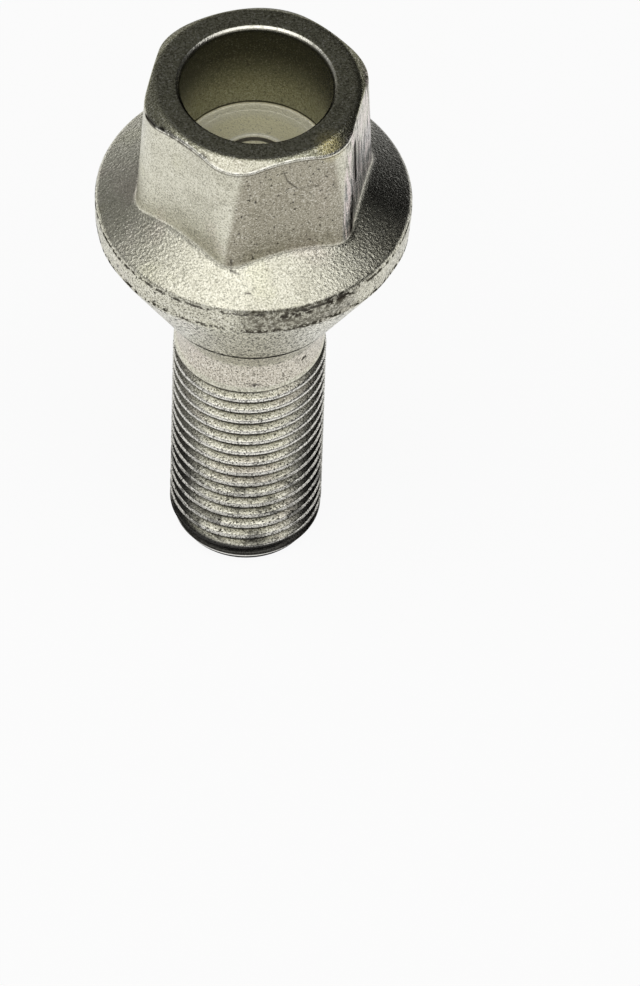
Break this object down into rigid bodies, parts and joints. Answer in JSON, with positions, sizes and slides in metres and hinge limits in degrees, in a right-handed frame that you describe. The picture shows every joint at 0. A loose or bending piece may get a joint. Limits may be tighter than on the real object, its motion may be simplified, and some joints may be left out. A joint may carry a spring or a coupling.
{
  "type": "wheel bolt",
  "caption": "Conical-seat wheel bolt with a hexagonal head, a round collar and a deep round recess in the head.",
  "frame": {"origin": "centre of the tip's face, which the bolt stands on", "axes": "+Z along the shank, from the tip to the head"},
  "size_m": [0.0244, 0.0244, 0.0496],
  "materials": {
    "plated_steel": "satin zinc-flake coating, fine grain, scuffed edges"
  },
  "bodies": {
    "root": {"wheel_bolt": "plated_steel"}
  },
  "joints": []
}
